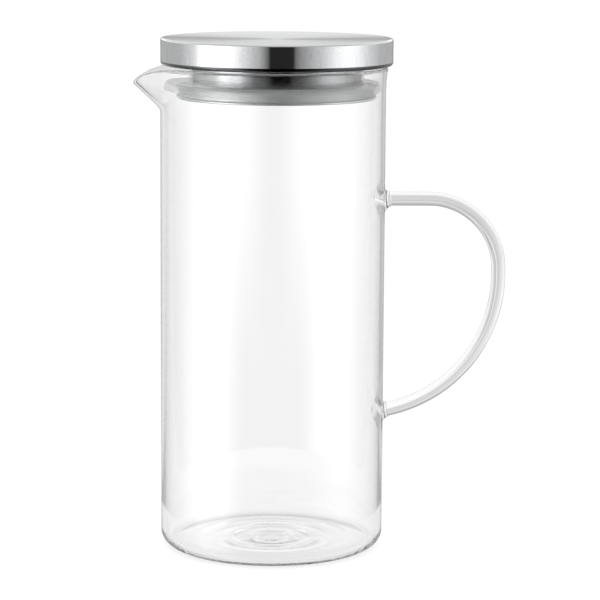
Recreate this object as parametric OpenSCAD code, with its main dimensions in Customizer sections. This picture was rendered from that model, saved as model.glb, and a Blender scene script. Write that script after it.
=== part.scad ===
/* [Glass tube] */
// Outside diameter of the tube
tube_d = 100; // [92:1:115]
// Height of the glass, from the table to the lip
glass_h = 215.5; // [200:0.5:260]
// Thickness of the wall
glass_wall = 2; // [1.6:0.1:2.6]
// Thickness of the floor
floor_t = 2.5; // [2:0.1:5]
// Radius of the ring pressed into the floor, to its crest
floor_ring_r = 8; // [6:0.5:14]
// How far that ring stands up from the floor
floor_ring_h = 0.4; // [0.2:0.1:0.8]
// Outside rounding where the wall turns under into the floor
heel_r = 7; // [5:0.5:10]
// How much wider the mouth is at the lip than the tube, to each side
mouth_flare = 1.1; // [0.4:0.1:2]
// Height of the stretch that opens out into the mouth
flare_h = 14; // [10:0.5:18]

/* [Spout] */
// How far the tip reaches past the tube's wall
spout_reach = 12.6; // [9:0.1:15]
// How far the tip lies below the lip
spout_dip = 7; // [5:0.5:9]
// How far below the lip the glass begins to be drawn out
spout_depth = 20.5; // [18:0.5:24]
// Height over which the wall bends into the keel
spout_bend = 3; // [2:0.5:5]
// Angle to each side of the middle that the spout takes up
spout_half_angle = 40; // [35:1:50]
// Angle to each side at which the bulge is down to half
spout_pinch_angle = 10.2; // [8:0.2:13]

/* [Handle] */
// Diameter of the glass rod
rod_d = 6.4; // [5:0.1:8]
// Height of the upper foot's middle
upper_foot_h = 156.8; // [145:0.5:175]
// How far the grip's middle stands off the wall
grip_reach = 51; // [44:0.5:60]
// Radius of the upper bend, to the rod's middle
upper_bend_r = 31.2; // [26:0.2:36]
// Straight stretch of the grip between its two bends
grip_straight = 3.6; // [2:0.2:12]
// Slope at which the lower end runs down into the wall
lower_slope = 15.4; // [8:0.2:25]
// How far the straight lower end stands off the wall
lower_straight = 5.5; // [4.5:0.1:8]
// Diameter of a foot where it is fused to the wall
foot_d = 9; // [8.4:0.1:11]
// Radius of the hollow curve from the rod out to its foot
foot_round = 3; // [2.6:0.1:4]
// How far the softened wall bulges into the tube behind each foot
weld_bulge = 3.2; // [2:0.1:4]
// Radius of that bulge's rounding
weld_r = 5.5; // [4.6:0.1:7]

/* [Lid] */
// How far the cap stands out past the tube all round
cap_overhang = 1.5; // [0.5:0.1:9]
// Height of the cap, with its rolled edge
cap_h = 11.8; // [9:0.1:16]
// Outside rounding of the cap's top edge
cap_edge_r = 1; // [0.9:0.1:1.6]
// Radius of the rolled edge under the cap
cap_roll_r = 1.2; // [1:0.1:1.6]
// How deep the cap's top is dished
cap_dish = 0.6; // [0.3:0.1:1.2]
// Thickness of the steel sheet
sheet_t = 0.7; // [0.5:0.1:0.9]
// How far the collar stands in from the pan's wall
collar_inset = 3.7; // [2.8:0.1:8]
// How much narrower the collar is at its foot, to each side
collar_taper = 0.6; // [0.2:0.1:1]
// Room between the pan's wall and the glass, which the silicone ring fills
ring_room = 5.2; // [4.6:0.1:6]
// How far the lid's plug reaches below the lip
plug_depth = 14; // [12:0.5:18]
// Height of the pan, from its underside to the ledge on top
pan_h = 5; // [4.4:0.1:6]
// Diameter of the rolled edge round the pan's underside
pan_roll_d = 1.3; // [1:0.1:1.6]
// How far the lid lies to the handle's side of the mouth
lid_shift = 1.6; // [0:0.1:1.8]

/* [Silicone ring] */
// Thickness of the ring's sleeve
sleeve_t = 1.15; // [1:0.05:1.6]
// Height of the skirt's outer face
skirt_h = 3.3; // [2.4:0.1:4.2]
// How far the skirt's outer face leans in towards its top
skirt_lean = 0.8; // [0.3:0.1:1.2]
// How far the skirt's lower edge stands below the lip
skirt_low = 10.1; // [9:0.1:11]

/* [Clearances] */
// Rest gap between the lid and the lip of the glass
seat_gap = 0.3; // [0.2:0.05:0.5]
// Gap between the skirt and the glass
skirt_gap = 0.3; // [0.2:0.05:0.6]
// Running clearance between the turning steel and the ring
turn_gap = 0.08; // [0.05:0.01:0.1]

/* [Hidden] */
$fn = 96;

// Cuts run this far past what they cut
overrun = 1;
// The flat-sided half of the mouth stands this much inside the faces of the round tube below it
mouth_inset = 0.01;

tube_r = tube_d / 2;
bore_r = tube_r - glass_wall;
mouth_z = glass_h - spout_depth - overrun;
lip_r = glass_wall / 2;
mouth_tilt = atan(3 * mouth_flare / flare_h);

// Middle line of the rod
grip_x = tube_r + grip_reach;
upper_bend_x = grip_x - upper_bend_r;
upper_bend_z = upper_foot_h - upper_bend_r;
upper_turn = 90;
lower_turn = upper_turn - lower_slope;
lower_bend_r = (grip_reach - lower_straight) / (1 - cos(lower_turn));
lower_bend_x = grip_x - lower_bend_r;
lower_bend_z = upper_bend_z - grip_straight;
lower_foot_h = lower_bend_z - lower_bend_r * sin(lower_turn) - lower_straight * tan(lower_slope);
foot_swell = (foot_d - rod_d) / 2;
foot_l = sqrt(2 * foot_round * foot_swell - pow(foot_swell, 2));
foot_sink = glass_wall;
weld_root_r = bore_r + glass_wall / 2;
floor_crest_r = 3 * floor_ring_h;

// Heights and radii of the lid
seat_z = glass_h + seat_gap;
cap_low = seat_z + seat_gap;
cap_top = cap_low + cap_h;
cap_r = tube_r + cap_overhang;
cap_rim_w = sheet_t;
base_r = cap_r - 2 * cap_roll_r - turn_gap;
base_rim_h = cap_h / 3;
base_corner_r = 2 * sheet_t;
pan_r = bore_r - ring_room;
collar_r = pan_r - collar_inset;
collar_foot_r = collar_r - collar_taper;
collar_flange_w = 6 * sheet_t;
pan_low = glass_h - plug_depth;
pan_roll_r = pan_roll_d / 2;
pan_floor = pan_low + pan_roll_r - sheet_t / 2;
ledge_low = pan_low + pan_h;

// Heights and radii of the silicone ring
sleeve_bore_r = pan_r + turn_gap;
sleeve_r = sleeve_bore_r + sleeve_t;
sleeve_low = pan_low + pan_roll_d + turn_gap;
sleeve_high = ledge_low - turn_gap;
skirt_r = bore_r - skirt_gap;
skirt_z = glass_h - skirt_low;
skirt_root_r = sleeve_r - lid_shift - sleeve_t / 2;
skirt_edge_r = skirt_h / 8;

glass_tint = [0.90, 0.94, 0.94, 0.45];
steel_tint = [0.72, 0.73, 0.74];
silicone_tint = [0.93, 0.94, 0.94, 0.8];

// How strongly the spout draws the wall out at an angle from its middle, from 1 down to 0
function pull(a) =
    abs(a) >= spout_half_angle ? 0 :
    pow(1 - pow(a / spout_half_angle, 4), 2) / (1 + pow(a / spout_pinch_angle, 2));

// How far the keel stands out of the wall at a height
function rise(z) =
    let (up = max(z - (glass_h - spout_depth), 0),
         to_tip = spout_depth - spout_dip - spout_bend / 2,
         run = up < spout_bend ? up * up / (2 * spout_bend) : up - spout_bend / 2)
    spout_reach * run / to_tip;

// How far the mouth opens out at a height
function flare(z) = mouth_flare * pow(max(z - (glass_h - flare_h), 0) / flare_h, 3);

// Height of the lip at an angle from the spout's middle, to the middle of its rounding
function lip_z(a) = glass_h - lip_r * (1 + sin(mouth_tilt)) - spout_dip * pull(a);

// Outer face of the mouth
function face_r(a, z) = tube_r + flare(z) + pull(a) * rise(z);
function face(a, z) = [-face_r(a, z) * cos(a), face_r(a, z) * sin(a), z];

// Outward direction square to that face
function outward(a, z) =
    let (step = 0.01,
         across = face(a + step, z) - face(a - step, z),
         up = face(a, z + step) - face(a, z - step),
         square_to = abs(a) < spout_half_angle ? cross(up, across) : cross(up, [sin(a), cos(a), 0]))
    square_to / norm(square_to);

// One closed section through the wall: up the outer face, round the lip and down the inner face
wall_steps = 9;
lip_steps = 4;
function level(a, i) = mouth_z + (lip_z(a) - mouth_z) * i / wall_steps;
function inner_point(a, z) = face(a, z) - 2 * lip_r * outward(a, z);
function lip_point(a, turn) =
    let (out = outward(a, lip_z(a)),
         up = cross([sin(a), cos(a), 0], out))
    face(a, lip_z(a)) + lip_r * ((cos(turn) - 1) * out + sin(turn) * up);
function on_tube(a, r) = [-r * cos(a), r * sin(a), mouth_z];
function inset(a) = abs(a) < 90 ? mouth_inset : 0;
function wall_section(a) = concat(
    [on_tube(a, tube_r - inset(a))],
    [for (i = [1 : wall_steps - 1]) face(a, level(a, i))],
    [for (i = [0 : lip_steps]) lip_point(a, 180 * i / lip_steps)],
    [for (i = [wall_steps - 1 : -1 : 1]) inner_point(a, level(a, i))],
    [on_tube(a, bore_r + inset(a))]
);

// Angles of the sections, from one side of the jug round the spout to the other, closest at the tip
spout_sections = 14;
side_sections = 8;
function spout_angle(i) = spout_half_angle * sign(i) * pow(abs(i) / spout_sections, 1.4);
function side_angle(i) = spout_half_angle + (90 - spout_half_angle) * i / side_sections;
section_angles = concat(
    [for (i = [side_sections : -1 : 1]) -side_angle(i)],
    [for (i = [-spout_sections : spout_sections]) spout_angle(i)],
    [for (i = [1 : side_sections]) side_angle(i)]
);

// Half of the worked mouth, with the spout in its middle
module spout_half() {
    sections = [for (a = section_angles) wall_section(a)];
    ring = len(sections[0]);
    last = len(sections) - 1;
    sides = [for (i = [0 : last - 1], j = [0 : ring - 1])
        let (a = i * ring + j, b = i * ring + (j + 1) % ring)
        each [[a, a + ring, b], [b, a + ring, b + ring]]];
    across = [for (j = [0 : (ring - 3) / 2])
        let (k = ring - 1 - j)
        each k - j > 2 ? [[j, j + 1, k], [j + 1, k - 1, k]] : [[j, j + 1, k]]];
    far_end = [for (t = across) [for (j = [2 : -1 : 0]) last * ring + t[j]]];
    polyhedron([for (s = sections) each s], concat(sides, across, far_end));
}

// The other half of the mouth, round and plain
module plain_half() {
    profile = [for (p = wall_section(90)) [p[1], p[2]]];
    rotate([0, 0, -90])
        rotate_extrude(angle = 180)
            polygon(profile);
}

// Solid round profile from the axis outward, with its lower outside corner rounded
module rounded_foot(r, low, high, corner) {
    translate([0, low])
        square([r - corner, high - low]);
    translate([0, low + corner])
        square([r, high - low - corner]);
    translate([r - corner, low + corner])
        circle(corner);
}

// Plain tube with its floor and the low ring on it
module tube() {
    rotate_extrude() {
        difference() {
            rounded_foot(tube_r, 0, mouth_z, heel_r);
            rounded_foot(bore_r, floor_t, mouth_z + overrun, heel_r - glass_wall);
        }
        translate([floor_ring_r, floor_t + floor_ring_h - floor_crest_r])
            circle(floor_crest_r);
    }
}

// Round bulge on the wall's inner face, where the hot foot of the rod was pressed on
module weld_bulge_at(z) {
    intersection() {
        translate([bore_r - weld_bulge + weld_r, 0, z])
            sphere(weld_r);
        cylinder(r = weld_root_r, h = glass_h);
    }
}

module glass_body() {
    color(glass_tint)
        union() {
            tube();
            weld_bulge_at(upper_foot_h);
            weld_bulge_at(lower_foot_h);
            plain_half();
            spout_half();
        }
}

// Radius of the rod at a distance from the wall, hollowing out to its foot
function rod_r(d) =
    d < 0 ? foot_d / 2 :
    d < foot_l ? rod_d / 2 + foot_round - sqrt(pow(foot_round, 2) - pow(foot_l - d, 2)) :
    rod_d / 2;

// Stations along the rod's middle line, each [x, z, heading, radius], from the upper foot to the lower one
bend_steps = 14;
foot_steps = 5;
foot_stations = concat([-foot_sink], [for (i = [0 : foot_steps]) foot_l * i / foot_steps]);
function on_bend(x, z, r, a) = [x + r * cos(a), z + r * sin(a), a - 90, rod_d / 2];
function on_lower_end(d) =
    [tube_r + d * cos(lower_slope), lower_foot_h + d * sin(lower_slope), lower_slope - 180, rod_r(d)];
rod_stations = concat(
    [for (d = foot_stations) [tube_r + d, upper_foot_h, 0, rod_r(d)]],
    [for (i = [bend_steps : -1 : 0])
        on_bend(upper_bend_x, upper_bend_z, upper_bend_r, upper_turn * i / bend_steps)],
    [for (i = [0 : bend_steps])
        on_bend(lower_bend_x, lower_bend_z, lower_bend_r, -lower_turn * i / bend_steps)],
    [for (i = [len(foot_stations) - 1 : -1 : 0]) on_lower_end(foot_stations[i])]
);

// Tube of rings swept along stations that lie in the XZ plane
module swept_rod(stations, sides) {
    last = len(stations) - 1;
    rings = [for (s = stations, j = [0 : sides - 1])
        let (turn = 360 * j / sides, out = s[3] * cos(turn))
        [s[0] - out * sin(s[2]), s[3] * sin(turn), s[1] + out * cos(s[2])]];
    skin = [for (i = [0 : last - 1], j = [0 : sides - 1])
        let (a = i * sides + j, b = i * sides + (j + 1) % sides)
        each [[a, b, a + sides], [b, b + sides, a + sides]]];
    first_end = [for (j = [sides - 1 : -1 : 0]) j];
    last_end = [for (j = [0 : sides - 1]) last * sides + j];
    polyhedron(rings, concat(skin, [first_end, last_end]));
}

module handle() {
    rod_sides = 24;
    color(glass_tint)
        difference() {
            swept_rod(rod_stations, rod_sides);
            cylinder(r = tube_r, h = glass_h);
        }
}

// Turns a profile about the lid's own axis
module turned_on_lid() {
    translate([lid_shift, 0, 0])
        rotate_extrude()
            children();
}

// Solid round profile from the axis outward, with its upper outside corner rounded
module rounded_top(r, low, high, corner) {
    translate([0, low + high])
        mirror([0, 1])
            rounded_foot(r, low, high, corner);
}

module cap_shell() {
    roll_z = cap_low + cap_roll_r;
    dish_r = cap_r - cap_edge_r - cap_rim_w;
    color(steel_tint)
        turned_on_lid() {
            difference() {
                rounded_top(cap_r, roll_z, cap_top, cap_edge_r);
                translate([0, cap_low])
                    square([cap_r - sheet_t, cap_h - cap_dish - sheet_t]);
                polygon([[0, cap_top - cap_dish], [dish_r, cap_top], [0, cap_top + overrun]]);
            }
            translate([cap_r - cap_roll_r, roll_z])
                circle(cap_roll_r);
        }
}

module cap_base() {
    color(steel_tint)
        turned_on_lid()
            difference() {
                rounded_foot(base_r, seat_z, seat_z + base_rim_h, base_corner_r);
                rounded_foot(base_r - sheet_t, seat_z + sheet_t, seat_z + base_rim_h + overrun,
                    base_corner_r - sheet_t);
            }
}

module collar() {
    color(steel_tint)
        turned_on_lid() {
            translate([collar_r - collar_flange_w, seat_z - sheet_t])
                square([collar_flange_w - sheet_t / 2, sheet_t]);
            polygon([
                [collar_r, seat_z],
                [collar_r - sheet_t, seat_z],
                [collar_foot_r - sheet_t, ledge_low],
                [collar_foot_r, ledge_low]
            ]);
            translate([collar_foot_r - sheet_t, ledge_low])
                square([sleeve_r - collar_foot_r + sheet_t / 2, sheet_t]);
            translate([sleeve_r - sheet_t / 2, ledge_low + sheet_t / 2])
                circle(sheet_t / 2);
        }
}

module lid_pan() {
    color(steel_tint)
        turned_on_lid() {
            translate([0, pan_floor])
                square([sleeve_r - pan_roll_r, sheet_t]);
            translate([sleeve_r - pan_roll_r, pan_low + pan_roll_r])
                circle(pan_roll_r);
            translate([pan_r - sheet_t, pan_floor])
                square([sheet_t, ledge_low - pan_floor]);
        }
}

// The skirt is drawn pressed into the mouth, so it follows the tube while the sleeve follows the lid
module gasket() {
    color(silicone_tint)
        difference() {
            union() {
                turned_on_lid()
                    translate([sleeve_bore_r, sleeve_low])
                        square([sleeve_t, sleeve_high - sleeve_low]);
                rotate_extrude()
                    polygon([
                        [skirt_root_r, sleeve_low + turn_gap],
                        [skirt_r - skirt_edge_r, skirt_z],
                        [skirt_r, skirt_z + skirt_edge_r],
                        [skirt_r - skirt_lean, skirt_z + skirt_h - skirt_edge_r],
                        [skirt_r - skirt_lean - skirt_edge_r, skirt_z + skirt_h],
                        [skirt_root_r, sleeve_high]
                    ]);
            }
            translate([lid_shift, 0, 0]) {
                cylinder(r = sleeve_bore_r, h = sleeve_high + overrun);
                translate([0, 0, sleeve_high])
                    cylinder(r = sleeve_r + skirt_gap, h = plug_depth);
            }
        }
}

glass_body();
handle();
cap_shell();
cap_base();
collar();
lid_pan();
gasket();
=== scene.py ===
import math

import bpy
from mathutils import Matrix, Vector


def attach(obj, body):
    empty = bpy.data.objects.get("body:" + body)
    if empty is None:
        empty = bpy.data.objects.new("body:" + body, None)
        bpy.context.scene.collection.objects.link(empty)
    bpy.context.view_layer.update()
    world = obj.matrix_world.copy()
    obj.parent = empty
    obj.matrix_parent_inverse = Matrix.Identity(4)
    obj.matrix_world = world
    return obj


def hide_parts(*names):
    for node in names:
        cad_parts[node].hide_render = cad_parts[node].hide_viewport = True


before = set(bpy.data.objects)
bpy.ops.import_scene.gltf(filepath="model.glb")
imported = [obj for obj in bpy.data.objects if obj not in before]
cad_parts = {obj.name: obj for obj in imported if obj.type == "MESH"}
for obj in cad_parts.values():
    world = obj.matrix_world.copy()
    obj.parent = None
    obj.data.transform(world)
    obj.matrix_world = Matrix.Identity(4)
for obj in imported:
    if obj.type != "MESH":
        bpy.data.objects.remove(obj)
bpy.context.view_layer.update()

# One millimetre in the scene's metres. The sizes below are in millimetres.
MM = 0.001

# The jug's tube, floor and mouth
TUBE_R = 50.0
WALL = 2.0
FLOOR_T = 2.5
HEEL_R = 7.0
GLASS_H = 215.5
MOUTH_FLARE = 1.1
FLARE_H = 14.0
LIP_R = WALL / 2
BORE_R = TUBE_R - WALL
# The mouth opens by a cubic curve, so its slope at the lip is three times the mean
MOUTH_TILT = math.atan(3 * MOUTH_FLARE / FLARE_H)

# The spout, drawn out of the wall opposite the handle
SPOUT_REACH = 12.6
SPOUT_DIP = 7.0
SPOUT_DEPTH = 20.5
SPOUT_BEND = 3.0
SPOUT_HALF = math.radians(40)
SPOUT_PINCH = math.radians(10.2)
# From here up, 1 mm below the spout, the wall's rows follow the lip
MOUTH_LOW = GLASS_H - SPOUT_DEPTH - 1

# The handle's rod, from its upper foot round the grip to its lower foot
ROD_R = 3.2
UPPER_FOOT_H = 156.8
GRIP_REACH = 51.0
GRIP_X = TUBE_R + GRIP_REACH
UPPER_BEND_R = 31.2
GRIP_STRAIGHT = 3.6
LOWER_SLOPE = math.radians(15.4)
LOWER_STRAIGHT = 5.5
# The lower bend turns the rod in, until it runs down to the wall at that slope
LOWER_TURN = math.pi / 2 - LOWER_SLOPE
LOWER_BEND_R = (GRIP_X - TUBE_R - LOWER_STRAIGHT) / (1 - math.cos(LOWER_TURN))
LOWER_BEND_Z = UPPER_FOOT_H - UPPER_BEND_R - GRIP_STRAIGHT
LOWER_END_Z = LOWER_BEND_Z - LOWER_BEND_R * math.sin(LOWER_TURN)
LOWER_FOOT_H = LOWER_END_Z - LOWER_STRAIGHT * math.tan(LOWER_SLOPE)

# A foot of the rod: its radius on the wall, and how far out from the wall it follows the wall's curve
FOOT_R = 4.5
FOOT_REACH = 4.0
# Each foot is a bead of softened glass round the rod, with a rounded edge and a web drawn down below it
BEAD = 0.35
BEAD_OUT = 1.5
BEAD_EDGE = 0.35
WELD_SPREAD = 0.35
UPPER_WEB = 2.2
LOWER_WEB = 0.5
# Rings of points along a foot: (share of the way out to the bead's edge, share of that edge's rounding)
FOOT_STATIONS = ((0.06, 0), (0.14, 0), (0.25, 0), (0.4, 0), (0.6, 0), (0.8, 0), (0.93, 0), (1, 0),
                 (1, 0.2), (1, 0.4), (1, 0.6), (1, 0.8), (1, 1), (1, 1.6))
# The softened wall bulges into the tube behind each foot: depth, radius, and how wide and full its flank is
WELD_BULGE = 3.2
WELD_R = 5.5
WELD_FADE = 1.5
WELD_FLANK = 0.8
# Columns and rows of the wall that give way to a foot, to each side of its middle, and those rows' height
FOOT_COLUMNS = 7
FOOT_ROWS = 7
FOOT_HALF_H = 7.6

# The two low rings that pressing raised on the floor: radius, height and width
FLOOR_RING_R = 8.0
FLOOR_RING_H = 0.34
FLOOR_RING_W = 1.8
OUTER_RING_R = 18.5
OUTER_RING_H = 0.14
OUTER_RING_W = 1.5
# The slow rings under them: height and spacing, the radius by which they have risen, and where they end
SLOW_RING_H = 0.07
SLOW_RING_STEP = 9.0
SLOW_RING_IN = 12
SLOW_RING_OUT = 40

# The lid's own axis lies this far to the handle's side of the tube's axis
LID_SHIFT = 1.6

# The lid's sheet, and the gaps in which it rests and turns
SHEET = 0.7
SEAT_GAP = 0.3
TURN_GAP = 0.08
SEAT_Z = GLASS_H + SEAT_GAP
# The cap: its side, its rolled rim with the hem above it, its rounded edge, and the dish of its top
CAP_LOW = SEAT_Z + SEAT_GAP
CAP_H = 11.8
CAP_TOP = CAP_LOW + CAP_H
CAP_R = 51.5
CAP_ROLL = 1.2
ROLL_END = 0.9
ROLL_GAP = 0.1
HEM_H = 2.0
CAP_EDGE = 1.0
CAP_DISH = 0.6
BASE_R = CAP_R - 2 * CAP_ROLL - TURN_GAP
# The collar, the ledge at its foot with the fillet above, and the pan with its roll
PAN_R = 42.8
COLLAR_R = 39.1
COLLAR_TAPER = 0.6
COLLAR_FOOT_R = COLLAR_R - COLLAR_TAPER
COLLAR_FILLET = 0.4
FILLET_MIDDLE = 0.12
PAN_DROP = 14.0
PAN_LOW = GLASS_H - PAN_DROP
PAN_H = 5.0
LEDGE_LOW = PAN_LOW + PAN_H
PAN_ROLL = 0.65
PAN_CREASE = 0.9
# The ring: the sleeve round the pan, and the skirt that meets the glass
SLEEVE_BORE = PAN_R + TURN_GAP
SLEEVE_WALL = 1.15
SLEEVE_R = SLEEVE_BORE + SLEEVE_WALL
SLEEVE_LOW = PAN_LOW + 2 * PAN_ROLL + TURN_GAP
SLEEVE_HIGH = LEDGE_LOW - TURN_GAP
SLEEVE_FOOT = 0.5
SLEEVE_LEAN = 0.3
SKIRT_GAP = 0.3
SKIRT_R = BORE_R - SKIRT_GAP
SKIRT_DROP = 10.1
SKIRT_Z = GLASS_H - SKIRT_DROP
SKIRT_H = 3.3
SKIRT_LEAN = 0.8
# A turned piece has this many flats round its axis, and points closer than this become one
SEGMENTS = 288
MERGE_GAP = 0.001

# How a point of a profile is finished: as the open sheet, burnished at an edge, or rolled under, where it
# takes the steel with painted shade
OPEN = 0.0
BURNISHED = 1.0
ROLLED = -1.0
# A face counts as burnished or rolled where the mean of its points lies beyond this
MARKED = 0.9


def linear(hex_colour):
    """An sRGB hex colour as the linear red, green, blue and alpha that a socket takes."""
    channels = [int(hex_colour[i:i + 2], 16) / 255 for i in (1, 3, 5)]
    return [c / 12.92 if c <= 0.04045 else ((c + 0.055) / 1.055) ** 2.4 for c in channels] + [1.0]


def add_node(tree, kind, settings=None, inputs=None):
    """Adds one node; a tuple among the inputs is a link from (node, its output)."""
    node = tree.nodes.new(kind)
    for name, value in (settings or {}).items():
        setattr(node, name, value)
    for name, value in (inputs or {}).items():
        if isinstance(value, tuple) and isinstance(value[0], bpy.types.Node):
            tree.links.new(value[0].outputs[value[1]], node.inputs[name])
        else:
            node.inputs[name].default_value = value
    return node


def maths(tree, operation, *values):
    """One step of arithmetic on numbers or node outputs, as (node, its output)."""
    return add_node(tree, "ShaderNodeMath", {"operation": operation}, dict(enumerate(values))), "Value"


def new_material(name):
    """A new material with an empty node tree, and that tree."""
    material = bpy.data.materials.new(name)
    material.use_nodes = True
    material.node_tree.nodes.clear()
    return material, material.node_tree


def finish_material(material, surface, output="BSDF"):
    """Links a surface to a new output."""
    add_node(material.node_tree, "ShaderNodeOutputMaterial", inputs={"Surface": (surface, output)})
    return material


def fill_ramp(node, stops):
    """Sets a colour ramp's grey stops, each a place from 0 to 1 and a linear level."""
    elements = node.color_ramp.elements
    while len(elements) < len(stops):
        elements.new(0.5)
    for element, (place, level) in zip(elements, stops):
        element.position = place
        element.color = (level, level, level, 1)


def noise(tree, vector, size, detail=2.0):
    """A noise whose spots are about so many millimetres wide."""
    return add_node(tree, "ShaderNodeTexNoise", inputs={
        "Vector": vector, "Scale": 1 / (size * MM), "Detail": detail})


def bumps(tree, grain, strength, depth):
    """A relief from a noise, with its depth in millimetres."""
    return add_node(tree, "ShaderNodeBump", inputs={
        "Height": (grain, "Fac"), "Strength": strength, "Distance": depth * MM})


def two_shades(tree, grain, dark, pale):
    """A colour that wanders with a noise between two hex colours."""
    shade = add_node(tree, "ShaderNodeValToRGB", inputs={"Fac": (grain, "Fac")})
    for element, hex_colour, at in zip(shade.color_ramp.elements, (dark, pale), (0.3, 0.7)):
        element.position = at
        element.color = linear(hex_colour)
    return shade


def between(tree, grain, low, high):
    """A level that wanders with a noise between two others."""
    return add_node(tree, "ShaderNodeMapRange", inputs={
        "Value": (grain, "Fac"), "To Min": low, "To Max": high})


# How clear the glass is, from square on to edge on: a ray at a slant has more glass to cross
GLASS_TONES = ((0.0, 0.986), (0.2, 0.978), (0.3, 0.966), (0.4, 0.953), (0.5, 0.938),
               (0.68, 0.92), (0.78, 0.87), (1.0, 0.82))
# Light that has met more faces than this leaves the glass at pits, which tilt its face this strongly
TRAPPED_AFTER = 6.5
PIT_TILT = 1.6


def borosilicate_glass():
    """Clear blown borosilicate: colourless, with a faint slow waviness that bends what shows through.

    Light that runs along inside the wall by many mirrorings leaves it at fine pits, so that edges and
    welds stay clear.
    """
    material, tree = new_material("borosilicate_glass_blown")
    place = add_node(tree, "ShaderNodeTexCoord")
    stretch = add_node(tree, "ShaderNodeMapping", inputs={
        "Vector": (place, "Object"), "Scale": (1, 1, 0.25)})
    waves = noise(tree, (stretch, "Vector"), 30, 1.0)
    relief = bumps(tree, waves, 0.015, 0.3)
    pits = noise(tree, (place, "Object"), 1.5)
    path = add_node(tree, "ShaderNodeLightPath")
    trapped = maths(tree, "GREATER_THAN", (path, "Ray Depth"), TRAPPED_AFTER)
    tilt = add_node(tree, "ShaderNodeVectorMath", {"operation": "SUBTRACT"}, {
        0: (pits, "Color"), 1: (0.5, 0.5, 0.5)})
    deep = add_node(tree, "ShaderNodeVectorMath", {"operation": "SCALE"}, {
        0: (tilt, "Vector"), "Scale": trapped})
    pitted = add_node(tree, "ShaderNodeVectorMath", {"operation": "MULTIPLY_ADD"}, {
        0: (deep, "Vector"), 1: (PIT_TILT, PIT_TILT, PIT_TILT), 2: (relief, "Normal")})
    even = add_node(tree, "ShaderNodeVectorMath", {"operation": "NORMALIZE"}, {0: (pitted, "Vector")})
    slant = add_node(tree, "ShaderNodeLayerWeight", inputs={"Blend": 0.5})
    depth = add_node(tree, "ShaderNodeValToRGB", inputs={"Fac": (slant, "Facing")})
    fill_ramp(depth, GLASS_TONES)
    glass = add_node(tree, "ShaderNodeBsdfPrincipled", inputs={
        "Base Color": (depth, "Color"), "Roughness": 0.0, "IOR": 1.47, "Transmission Weight": 1.0,
        "Normal": (even, "Vector")})
    return finish_material(material, glass)


# Length and spacing of the brushed lines. Real ones are some 0.05 mm apart. These are coarser, so that they
# show from a step away.
BRUSH_LENGTH = 60
BRUSH_STEP = 0.3


def brushed_steel(name, dark, pale):
    """Stainless steel brushed on the lathe.

    Fine lines run round the axis, and smear reflections across themselves.
    """
    material, tree = new_material(name)
    place = add_node(tree, "ShaderNodeUVMap", {"uv_map": "UVMap"})
    lines = add_node(tree, "ShaderNodeMapping", inputs={
        "Vector": (place, "UV"), "Scale": (1 / BRUSH_LENGTH, 1 / BRUSH_STEP, 1)})
    scratches = add_node(tree, "ShaderNodeTexNoise", inputs={
        "Vector": (lines, "Vector"), "Scale": 1.0, "Detail": 4.0, "Roughness": 0.65})
    shade = two_shades(tree, scratches, dark, pale)
    relief = bumps(tree, scratches, 0.1, 0.02)
    round_axis = add_node(tree, "ShaderNodeTangent", {"direction_type": "RADIAL", "axis": "Z"})
    steel = add_node(tree, "ShaderNodeBsdfPrincipled", inputs={
        "Base Color": (shade, "Color"), "Metallic": 1.0, "Roughness": 0.13, "Anisotropic": 1.0,
        "Anisotropic Rotation": 0.25, "Tangent": (round_axis, "Tangent"), "Normal": (relief, "Normal")})
    return finish_material(material, steel)


def polished_steel():
    """Stainless steel burnished where the sheet is rolled over: bright, with sharp thin reflections."""
    material, tree = new_material("stainless_steel_burnished")
    place = add_node(tree, "ShaderNodeTexCoord")
    wander = noise(tree, (place, "Object"), 4, 1.0)
    rough = between(tree, wander, 0.1, 0.16)
    steel = add_node(tree, "ShaderNodeBsdfPrincipled", inputs={
        "Base Color": linear("#DCDDDE"), "Metallic": 1.0, "Roughness": (rough, "Result")})
    return finish_material(material, steel)


def satin_steel():
    """Pressed stainless steel left satin, under the milky ring: it gathers the light softly."""
    material, tree = new_material("stainless_steel_satin")
    place = add_node(tree, "ShaderNodeTexCoord")
    grain = noise(tree, (place, "Object"), 0.6, 3.0)
    relief = bumps(tree, grain, 0.15, 0.02)
    rough = between(tree, grain, 0.4, 0.5)
    steel = add_node(tree, "ShaderNodeBsdfPrincipled", inputs={
        "Base Color": linear("#F2F3F4"), "Metallic": 1.0, "Roughness": (rough, "Result"),
        "Normal": (relief, "Normal")})
    return finish_material(material, steel)


def rolled_steel_painted_shade():
    """Stainless steel rolled under at a rim: smooth, with painted shade, its colour darker than the sheet
    to stand for the shade under the cap's rim.
    """
    material, tree = new_material("stainless_steel_rolled_painted_shade")
    place = add_node(tree, "ShaderNodeTexCoord")
    wander = noise(tree, (place, "Object"), 6, 1.0)
    # Painted shade: these dark greys stand for the shade under the cap's rim, with a small random wander
    # between them
    shade = two_shades(tree, wander, "#6A6B6D", "#747577")
    steel = add_node(tree, "ShaderNodeBsdfPrincipled", inputs={
        "Base Color": (shade, "Color"), "Metallic": 1.0, "Roughness": 0.14})
    return finish_material(material, steel)


# How milky the ring is, by the share of the way from its bore to the skirt's edge. The bore stays clear, so
# that the haze in front of the steel is counted once.
HAZE = ((0.0, 0.02), (0.1, 0.02), (0.16, 0.31), (1.0, 0.31))


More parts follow.
